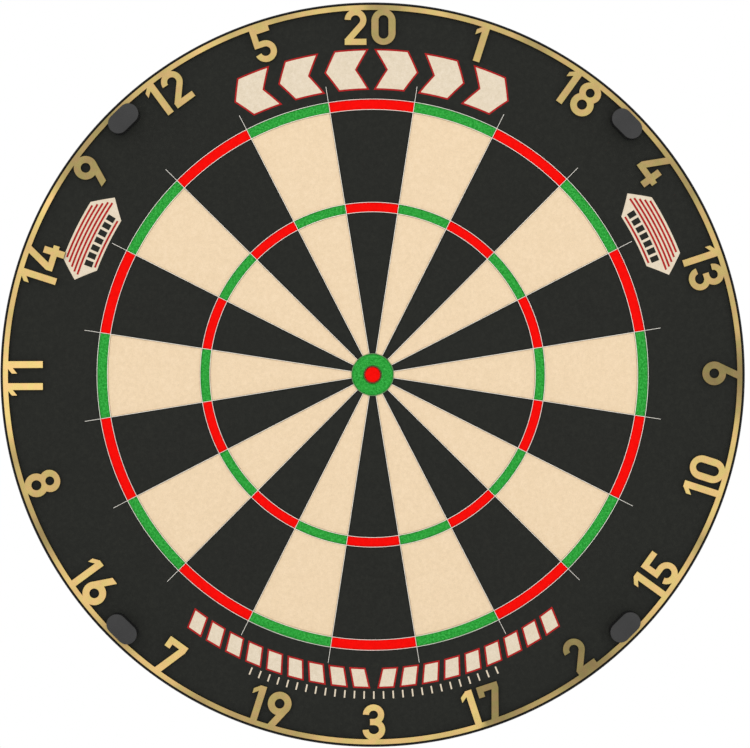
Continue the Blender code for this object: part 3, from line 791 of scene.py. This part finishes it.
def round_blades():
    # The bull blades' colours are painted light: green reflection on the outer, shadow on the inner.
    bull_painted_light = {"outer_bull_ring": "blade_painted_green_reflection", "inner_bull_ring": "blade_painted_shadow"}
    profile = blade_profile(ROUND_BLADE_BACK)
    for node in ROUND_BLADE_NODES:
        section = [(BLADE_RADII[node] + offset, depth) for offset, depth in profile]
        bm = turned(section, 120 if node in bull_painted_light else 360)
        finish = bull_painted_light.get(node, "blade")
        # Steep sides take the darker copy of the steel, painted shade.
        add_piece(f"{node}_blade", bm, finish, "board", [node], "blades", 20, side="blade_side_painted_shade")


def radial_blades():
    """Each runs from the outer bull's blade to a tip that slopes back."""
    start = BLADE_RADII["outer_bull_ring"] + BLADE_THICKNESS / 2
    for number in range(1, SECTORS + 1):
        bm = bmesh.new()
        ends = []
        for radius, slope in ((start, 0.0), (BLADE_TIP_RADIUS, BLADE_TIP_SLOPE)):
            row = []
            for x, depth in blade_profile(BLADE_BACK):
                z = radius - slope if depth > BLADE_BACK else radius
                row.append(bm.verts.new((x, -depth, z)))
            ends.append(row)
        bm.faces.new(ends[0])
        bm.faces.new(ends[1][::-1])
        for index in range(len(ends[0])):
            after = (index + 1) % len(ends[0])
            bm.faces.new((ends[0][index], ends[0][after], ends[1][after], ends[1][index]))
        node = f"radial_blade_{number:02d}"
        angle = SECTOR_ANGLE * (number - 0.5)
        piece = f"{node}_strip"
        # Steep sides take the darker copy of the steel, painted shade.
        add_piece(piece, bm, "blade", "board", [node], "blades", 20, turn=angle, side="blade_side_painted_shade")


# Number ring. Digits stand on y = 0 with their left edge at x = 0.


def digit_0():
    width = 14.9 * MM
    stem = 4.5 * MM
    inner = upright_slot(width - 2 * stem, BAR, DIGIT_HEIGHT - BAR, stem)
    return width, [(upright_slot(width, 0.0, DIGIT_HEIGHT), [inner])]


def digit_1():
    width = 7.7 * MM
    stem_left = width - STEM
    flag = [
        Vector((0.0, DIGIT_HEIGHT - 6.4 * MM)),
        Vector((stem_left + 0.6 * MM, DIGIT_HEIGHT - 3.3 * MM)),
        Vector((stem_left + 0.6 * MM, DIGIT_HEIGHT)),
        Vector((stem_left + 0.4 * MM, DIGIT_HEIGHT)),
        Vector((0.0, DIGIT_HEIGHT - 3.0 * MM)),
    ]
    return width, [(box(stem_left, 0.0, width, DIGIT_HEIGHT), []), (flag, [])]


def digit_2():
    width = 13.4 * MM
    radius = (width - BAR) / 2
    middle = (width / 2, DIGIT_HEIGHT - width / 2)
    foot = (1.5 * MM, 2.3 * MM)
    leave = tangent_angle(foot, middle, radius, 1)
    neck = arc(middle, (radius, radius), 180, leave) + [Vector(foot)]
    return width, [(strip(neck, BAR), []), (box(0.0, 0.0, width, BAR), [])]


def digit_3():
    waist = 11.2 * MM
    upper_radii = (4.6 * MM, (DIGIT_HEIGHT - BAR / 2 - waist) / 2)
    lower_radii = (5.0 * MM, (waist - BAR / 2) / 2)
    upper_middle = (6.8 * MM, waist + upper_radii[1])
    lower_middle = (7.0 * MM, waist - lower_radii[1])
    upper = arc(upper_middle, upper_radii, 180, -90) + [Vector((4.6 * MM, waist))]
    lower = [Vector((5.8 * MM, waist))] + arc(lower_middle, lower_radii, 90, -180)
    return 14.1 * MM, [(strip(upper, BAR), []), (strip(lower, BAR), [])]


def digit_4():
    crossbar = 4.3 * MM
    slope = [
        Vector((0.0, crossbar + BAR)),
        Vector((4.8 * MM, crossbar + BAR)),
        Vector((11.8 * MM, DIGIT_HEIGHT)),
        Vector((7.1 * MM, DIGIT_HEIGHT)),
    ]
    upright = box(9.6 * MM, 0.0, 9.6 * MM + STEM, 13.3 * MM)
    return 16.0 * MM, [(slope, []), (box(0.0, crossbar, 16.0 * MM, crossbar + BAR), []), (upright, [])]


def digit_5():
    shoulder = 11.5 * MM
    middle = (6.6 * MM, (shoulder + BAR / 2) / 2)
    radii = (4.9 * MM, (shoulder - BAR / 2) / 2)
    bowl = [Vector((0.5 * MM, shoulder))] + arc(middle, radii, 90, -170)
    stem = box(0.5 * MM, shoulder - BAR / 2, 0.5 * MM + BAR, DIGIT_HEIGHT)
    top = box(0.5 * MM, DIGIT_HEIGHT - BAR, 12.7 * MM, DIGIT_HEIGHT)
    return 13.5 * MM, [(strip(bowl, BAR), []), (stem, []), (top, [])]


def digit_6():
    radius = 7.3 * MM
    hole = 2.9 * MM
    middle = (radius, radius)
    track = (radius + hole) / 2
    top = (radius + 1.3 * MM, DIGIT_HEIGHT)
    touch = radians(tangent_angle(top, middle, track, 1))
    foot = Vector((middle[0] + track * cos(touch), middle[1] + track * sin(touch)))
    normal = Vector((cos(touch), sin(touch))) * STEM / 2
    half_top = Vector((STEM / 2 / abs(cos(touch)), 0.0))
    tail = [foot + normal, foot - normal, Vector(top) + half_top, Vector(top) - half_top]
    return 2 * radius, [(circle(middle, radius), [circle(middle, hole)]), (tail, [])]


def digit_7():
    width = 13.3 * MM
    slope = [
        Vector((2.9 * MM, 0.0)),
        Vector((7.6 * MM, 0.0)),
        Vector((width, DIGIT_HEIGHT - BAR)),
        Vector((8.8 * MM, DIGIT_HEIGHT - BAR)),
    ]
    top = box(0.0, DIGIT_HEIGHT - BAR, width, DIGIT_HEIGHT)
    serif = box(0.0, DIGIT_HEIGHT - 7.0 * MM, BAR, DIGIT_HEIGHT - BAR)
    return width, [(top, []), (serif, []), (slope, [])]


def digit_8():
    width = 14.6 * MM
    lower, upper = (width / 2, 7.2 * MM), (width / 2, 15.8 * MM)
    lower_eye, upper_eye = (3.0 * MM, 3.0 * MM), (2.65 * MM, 2.65 * MM)
    # Each loop runs from waist to waist, so that neither fills the other's eye.
    outline = arc(lower, (7.3 * MM, 7.2 * MM), 41, -221)[:-1]
    outline += arc(upper, (6.9 * MM, 6.4 * MM), 217, -37)[:-1]
    return width, [(outline, [arc(lower, lower_eye, 0, 360)[:-1], arc(upper, upper_eye, 0, 360)[:-1]])]


def digit_9():
    """A 6 turned round."""
    width, shapes = digit_6()
    return width, moved_shapes(shapes, lambda point: Vector((width - point.x, DIGIT_HEIGHT - point.y)))


DIGITS = (digit_0, digit_1, digit_2, digit_3, digit_4, digit_5, digit_6, digit_7, digit_8, digit_9)


def placed_digits(number):
    """(shapes, painted reflection) of each digit of a number, side by side about x = 0."""
    digits = [DIGITS[int(character)]() for character in str(number)]
    if len(digits) == 1:
        starts = [-digits[0][0] / 2]
    elif number == 11:
        starts = [FIRST_DIGIT_END - digits[0][0] - ONE_KERN, ONE_KERN]
    else:
        starts = [FIRST_DIGIT_END - digits[0][0], 0.0]
    result = []
    for start, (_, parts), painted_reflection in zip(starts, digits, DIGIT_PAINTED_REFLECTIONS[number]):
        shift = Vector((start, 0.0))
        result.append((moved_shapes(parts, lambda point, shift=shift: point + shift), painted_reflection))
    return result


def onto_ring(angle):
    """How a number's points move to its place: tops outwards on the upper half, bottoms on the lower."""
    edge = RING_RADIUS - BAND_WIDTH + DIGIT_OVERLAP
    upper = cos(radians(angle)) > -0.01
    lift = edge - DIGIT_HEIGHT if upper else -edge
    turn = radians(angle if upper else angle - 180)

    def move(point):
        x, z = point.x, point.y + lift
        return Vector((x * cos(turn) + z * sin(turn), z * cos(turn) - x * sin(turn)))

    return move


def ring_tone(spot, centres):
    """The nearest digit's painted reflection, which fades into a slow change of painted reflection along the
    band.
    """
    nearest, painted_reflection = min(centres, key=lambda centre: (centre[0] - spot).length)
    if spot.length > RING_RADIUS - BAND_WIDTH - 0.1 * MM:
        fade = min(1.0, max(0.0, (nearest - spot).length - REFLECTION_REACH) / REFLECTION_FADE)
        swing = noise.noise(Vector((spot.x, 0.0, spot.y)) / BAND_SWING_SIZE)
        painted_reflection += (BAND_PAINTED_REFLECTION + BAND_SWING * swing - painted_reflection) * fade
    return painted_reflection


def number_ring():
    outer = circle((0.0, 0.0), RING_RADIUS, BAND_STEP)
    inner = circle((0.0, 0.0), RING_RADIUS - BAND_WIDTH, BAND_STEP)
    shapes = [(outer, [inner])]
    centres = []
    for place, number in enumerate(NUMBERS):
        move = onto_ring(SECTOR_ANGLE * place)
        for parts, painted_reflection in placed_digits(number):
            left = min(point.x for outline, _ in parts for point in outline)
            right = max(point.x for outline, _ in parts for point in outline)
            centres.append((move(Vector(((left + right) / 2, DIGIT_HEIGHT / 2))), painted_reflection))
            shapes += moved_shapes(parts, move)
    bm = plate(shapes, RING_BACK, RING_FRONT, round_edge(0.2 * MM, 2))
    # Each vertex gets a painted reflection: how light the gold's colour is painted there.
    layer = bm.verts.layers.float.new("painted_reflection")
    for vertex in bm.verts:
        vertex[layer] = ring_tone(Vector((vertex.co.x, vertex.co.z)), centres)
    # Its steep sides take a near-black copy of the gold, painted shade.
    add_piece("number_ring_sheet", bm, "gold", "ring", ["number_ring"], "number_ring", 20, side="gold_side_painted_shade")


# Keepers.


def capsule(top=None):
    """A keeper's level outline about (0, 0), cut off level at the top if that is given."""
    radius = KEEPER_WIDTH / 2
    half = KEEPER_LENGTH / 2 - radius
    reach = 90 if top is None else degrees(asin(top / radius))
    right = arc((half, 0.0), (radius, radius), -90, reach)
    left = arc((-half, 0.0), (radius, radius), 180 - reach, 270)
    return right + left


def disc(node, edge, segments=64, bore=0.0, proud=0.0):
    """A round node's disc or ring with rounded corners."""
    radius, front, back = measures(node)
    section = [(bore, back), (radius, back), (radius, front + proud), (bore, front + proud)]
    return turned(rounded(section, edge), segments)


def keepers():
    """Each cap has a step over the band and a pocket for its magnet, over a disc in the sisal."""
    step = RING_FRONT + KEEPER_CLEARANCE
    for number in range(1, KEEPERS + 1):
        body = f"keeper_{number}"
        cap, magnet, anchor = f"keeper_cap_{number}", f"keeper_magnet_{number}", f"anchor_disc_{number}"
        _, front, back = measures(cap)
        place = centre_of(cap)
        magnet_place = centre_of(magnet)
        bm = plate([(capsule(), [])], step, front, round_edge(0.45 * MM))
        pocket = circle((0.0, -MAGNET_SHIFT), POCKET_RADIUS)
        bm = plate([(capsule(KEEPER_NOTCH), [pocket])], back, step + 0.2 * MM, FLAT, bm)
        angle = degrees(atan2(*place))
        shell = f"{cap}_shell"
        # The cap's steep sides take a near-black copy of its plastic, painted shade.
        add_piece(shell, bm, "cap_plastic", body, [cap], "keeper_caps", 25, place, angle, "cap_side_painted_shade")
        bm = disc(magnet, 0.25 * MM)
        add_piece(f"{magnet}_face", bm, "nickel", body, [magnet], "magnets", place=magnet_place)
        bm = disc(anchor, 0.25 * MM, proud=ANCHOR_PROUD)
        add_piece(f"{anchor}_face", bm, "zinc", "board", [anchor], "fasteners", place=magnet_place)


# Prints.


def bend(loop, radius, angle, upright=True):
    """A flat loop laid on the face: its x runs along the circle of this radius, from the angle."""
    result = []
    for point in loop:
        share = degrees(point.x / radius)
        out = radius + point.y if upright else radius - point.y
        result.append(Vector(on_face(out, angle + (share if upright else -share))))
    return result


def ink(name, loops, finish="print_cream", front=INK_FRONT):
    loops = [loop if signed_area(loop) > 0 else loop[::-1] for loop in loops]
    bm = plate([(loop, []) for loop in loops], INK_BACK, front, FLAT)
    add_piece(name, bm, finish, "board", [], "sisal")


def outlined_ink(name, loops):
    """Cream shapes with a red line round them."""
    loops = [loop if signed_area(loop) > 0 else loop[::-1] for loop in loops]
    ink(f"{name}_outline", [inset(loop, -INK_OUTLINE) for loop in loops], "print_red")
    ink(f"{name}_fill", loops, front=TOP_INK_FRONT)


def divided(corners, step=3.0 * MM):
    """Corners with points between them, so that a side can bend."""
    points = []
    for start, end in zip(corners, corners[1:] + corners[:1]):
        start, end = Vector(start), Vector(end)
        count = max(1, round((end - start).length / step))
        points += [start.lerp(end, index / count) for index in range(count)]
    return points


def top_print():
    """Chevrons that point away from the middle."""
    chevrons = []
    for number in range(3):
        start = CHEVRON_START + CHEVRON_STEP * number
        end = start + CHEVRON_WIDTH
        middle = CHEVRON_HEIGHT / 2
        corners = [(start, 0), (end, 0), (end + CHEVRON_TIP, middle)]
        corners += [(end, CHEVRON_HEIGHT), (start, CHEVRON_HEIGHT), (start + CHEVRON_TIP, middle)]
        for side in (1, -1):
            chevrons.append(bend(divided([(side * x, z) for x, z in corners]), CHEVRON_RADIUS, 0))
    outlined_ink("print_top", chevrons)


def bottom_print():
    """Slanted bars, with a row of fine ticks below them."""
    bars = []
    for number in range(BARS):
        start = BAR_START + BAR_STEP * number
        end = start + BAR_WIDTH
        corners = [(start, 0), (end, 0), (end + BAR_SLANT, BAR_HEIGHT), (start + BAR_SLANT, BAR_HEIGHT)]
        for side in (1, -1):
            bars.append(bend([Vector((side * x, z)) for x, z in corners], BAR_RADIUS, 180, False))
    outlined_ink("print_bottom", bars)
    ticks = []
    for number in range(-TICKS, TICKS + 1):
        middle = TICK_STEP * number
        tick = box(middle - TICK_WIDTH / 2, 0.0, middle + TICK_WIDTH / 2, TICK_HEIGHT)
        ticks.append(bend(tick, TICK_RADIUS, 180, False))
    ink("print_ticks_fill", ticks, front=TOP_INK_FRONT)


def side_print(name, angle):
    """A six-sided plaque with stripes and a row of blocks."""
    corners = [(-PLAQUE_REACH, 0), (-PLAQUE_SHOULDER, -PLAQUE_HALF_HEIGHT)]
    corners += [(PLAQUE_SHOULDER, -PLAQUE_HALF_HEIGHT), (PLAQUE_REACH, 0)]
    corners += [(PLAQUE_SHOULDER, PLAQUE_HALF_HEIGHT), (-PLAQUE_SHOULDER, PLAQUE_HALF_HEIGHT)]
    ink(f"{name}_fill", [bend(divided(corners), PLAQUE_RADIUS, angle)])
    stripes = []
    slope = (PLAQUE_REACH - PLAQUE_SHOULDER) / PLAQUE_HALF_HEIGHT
    for row in STRIPE_ROWS:
        reach = PLAQUE_REACH - STRIPE_MARGIN - abs(row) * slope
        stripe = box(-reach, row - STRIPE_WIDTH / 2, reach, row + STRIPE_WIDTH / 2)
        stripes.append(bend(divided(stripe), PLAQUE_RADIUS, angle))
    ink(f"{name}_stripes", stripes, "print_red", TOP_INK_FRONT)
    blocks = []
    for number in range(-BLOCKS, BLOCKS + 1):
        middle = BLOCK_STEP * number
        block = box(middle - BLOCK_WIDTH / 2, BLOCK_BOTTOM, middle + BLOCK_WIDTH / 2, BLOCK_TOP)
        blocks.append(bend(block, PLAQUE_RADIUS, angle))
    ink(f"{name}_blocks", blocks, "black", TOP_INK_FRONT)


def prints():
    top_print()
    bottom_print()
    for side, angle in PLAQUE_ANGLES.items():
        side_print(f"print_{side}", angle)


# Back of the board.


def carve(bm, tool):
    """The body less the tool, both closed."""
    objects = []
    for shape in (bm, tool):
        bmesh.ops.recalc_face_normals(shape, faces=shape.faces[:])
        mesh = bpy.data.meshes.new("carving")
        shape.to_mesh(mesh)
        shape.free()
        objects.append(add_object("carving", mesh))
    body, cutter = objects
    modifier = body.modifiers.new("cut", "BOOLEAN")
    modifier.operation = "DIFFERENCE"
    modifier.solver = "EXACT"
    modifier.object = cutter
    graph = bpy.context.evaluated_depsgraph_get()
    result = bmesh.new()
    result.from_mesh(body.evaluated_get(graph).to_mesh())
    body.evaluated_get(graph).to_mesh_clear()
    for thing in objects:
        bpy.data.objects.remove(thing, do_unlink=True)
    return result


def softened(node, radius):
    """The CAD node's shape with its sharp edges rounded."""
    bm = bmesh.new()
    bm.from_mesh(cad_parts[node].data)
    bmesh.ops.remove_doubles(bm, verts=bm.verts[:], dist=0.001 * MM)
    bmesh.ops.dissolve_limit(bm, angle_limit=radians(1), verts=bm.verts[:], edges=bm.edges[:])
    shared = [edge for edge in bm.edges if len(edge.link_faces) == 2]
    sharp = [edge for edge in shared if edge.calc_face_angle() > radians(50)]
    rounding = {"offset": radius, "segments": 3, "profile": 0.5, "clamp_overlap": True}
    bmesh.ops.bevel(bm, geom=sharp, affect="EDGES", **rounding)
    return bm


def screw(node, shank, head_depth, edge, segments):
    """A pan-head screw with its head towards the wall, and threads on its shank."""
    head, front, rear = measures(node)
    groove = shank * 0.8
    pitch = shank * 0.5
    under_head = rear + head_depth
    section = [(0, rear), (head * 0.62, rear), (head, rear + head_depth * 0.45), (head, under_head)]
    section.append((groove, under_head))
    depth = under_head + pitch
    while depth < front - 2 * pitch:
        section += [(groove, depth), (shank, depth + pitch * 0.4), (groove, depth + pitch * 0.8)]
        depth += pitch
    section += [(shank * 0.75, front - pitch), (0, front)]
    return turned(rounded(section, edge), segments)


def foot(node):
    """A rubber foot with a groove round it, and a counterbore for its screw's head."""
    wide, front, rear = measures(node)
    seat = rear + FOOT_COUNTERBORE_DEPTH
    groove = (front + rear) / 2
    section = [
        (FOOT_BORE, front),
        (wide, front),
        (wide - 0.8 * MM, groove + 1.4 * MM),
        (wide - 2.2 * MM, groove + 0.7 * MM),
        (wide - 2.4 * MM, groove - 0.7 * MM),
        (wide - 1.6 * MM, groove - 1.4 * MM),
        (wide - FOOT_TAPER, rear),
        (FOOT_COUNTERBORE, rear),
        (FOOT_COUNTERBORE, seat),
        (FOOT_BORE, seat),
    ]
    return turned(rounded(section, 0.8 * MM), 64)


def foot_screw(node):
    """A screw with a cross recess in its head."""
    long, thin = RECESS_LENGTH / 2, RECESS_WIDTH / 2
    cross = [(box(-long, -thin, long, thin), []), (box(-thin, -long, thin, long), [])]
    rear = measures(node)[2]
    recess = plate(cross, rear - 1.0 * MM, rear + RECESS_DEPTH, FLAT)
    return carve(screw(node, FOOT_SCREW_SHANK, FOOT_SCREW_HEAD, 0.7 * MM, 48), recess)


def back():
    inner = BOARD_RADIUS - HOOP_THICKNESS
    hoop = [(inner, BOARD_BACK), (BOARD_RADIUS, BOARD_BACK)]
    hoop += [(BOARD_RADIUS, HOOP_FRONT), (inner, HOOP_FRONT)]
    washer = disc("hanging_washer", 0.3 * MM, 48, WASHER_BORE)
    hanging_screw = screw("hanging_screw", HANGING_SHANK, HANGING_HEAD, 0.6 * MM, 64)
    parts = (
        ("steel_hoop", "band", turned(rounded(hoop, 0.4 * MM, 3), 360), "black_steel", "board", "hoop"),
        ("backboard", "disc", disc("backboard", 0.5 * MM, 180), "chipboard", "board", "chipboard"),
        ("hanging_washer", "ring", washer, "zinc", "board", "fasteners"),
        ("hanging_screw", "turned", hanging_screw, "zinc", "hanger", "fasteners"),
        ("wall_bracket", "pressing", softened("wall_bracket", 0.5 * MM), "bracket_steel", "wall", "bracket"),
    )
    for node, ending, bm, finish, body, slot in parts:
        add_piece(f"{node}_{ending}", bm, finish, body, [node], slot)
    for number in range(1, FEET + 1):
        node = f"wall_foot_{number}"
        place = centre_of(node)
        add_piece(f"{node}_rubber", foot(node), "rubber", "board", [node], "feet", place=place)
        node = f"foot_screw_{number}"
        bm = foot_screw(node)
        turn = 20 * number
        add_piece(f"{node}_turned", bm, "zinc", "board", [node], "fasteners", place=place, turn=turn)


# Stage.


def stage():
    floor = bmesh.new()
    bmesh.ops.create_circle(floor, cap_ends=True, segments=96, radius=FLOOR_RADIUS)
    mesh = bpy.data.meshes.new("floor")
    floor.to_mesh(mesh)
    floor.free()
    shader = Shader("floor")
    shader.set(Base_Color=shader.ramp(shader.noise(0.3), (0.3, 0.8), (0.7, 0.84)), Roughness=0.9)
    mesh.materials.append(shader.material)
    plane = add_object("floor", mesh, (0.0, 0.0, FLOOR_HEIGHT))


def soft_light(name, place, size, power):
    data = bpy.data.lights.new(name, "AREA")
    data.shape = "DISK"
    data.size = size
    data.energy = power
    light = add_object(name, data, place)
    light.rotation_euler = (-Vector(place)).to_track_quat("-Z", "Y").to_euler()


def lights():
    """An even white room, a little brighter where the camera sees it, with two large soft lamps."""
    world = bpy.data.worlds.new("studio")
    bpy.context.scene.world = world
    world.use_nodes = True
    background = world.node_tree.nodes["Background"]
    backdrop = world.node_tree.nodes.new("ShaderNodeBackground")
    mix = world.node_tree.nodes.new("ShaderNodeMixShader")
    path = world.node_tree.nodes.new("ShaderNodeLightPath")
    for node, strength in ((background, ROOM_LIGHT), (backdrop, 1.0)):
        node.inputs["Color"].default_value = (1.0, 1.0, 1.0, 1.0)
        node.inputs["Strength"].default_value = strength
    links = world.node_tree.links
    links.new(path.outputs["Is Camera Ray"], mix.inputs["Fac"])
    links.new(background.outputs["Background"], mix.inputs[1])
    links.new(backdrop.outputs["Background"], mix.inputs[2])
    links.new(mix.outputs["Shader"], world.node_tree.nodes["World Output"].inputs["Surface"])
    for name, lamp in LAMPS.items():
        soft_light(name, *lamp)


def camera():
    """Straight in front of the board, and near enough to show a little of its depth."""
    data = bpy.data.cameras.new("camera")
    data.sensor_width = SENSOR_WIDTH
    data.lens = SENSOR_WIDTH * CAMERA_DISTANCE / (IMAGE_WIDTH * PIXEL)
    view = add_object("camera", data, (CAMERA_RIGHT, -SISAL_FRONT - CAMERA_DISTANCE, CAMERA_UP))
    view.rotation_euler = (pi / 2, radians(CAMERA_ROLL), 0.0)
    bpy.context.scene.camera = view
    bpy.context.scene.view_settings.view_transform = "Standard"


def main():
    sisal()
    round_blades()
    radial_blades()
    number_ring()
    keepers()
    prints()
    back()
    stage()
    lights()
    camera()


main()
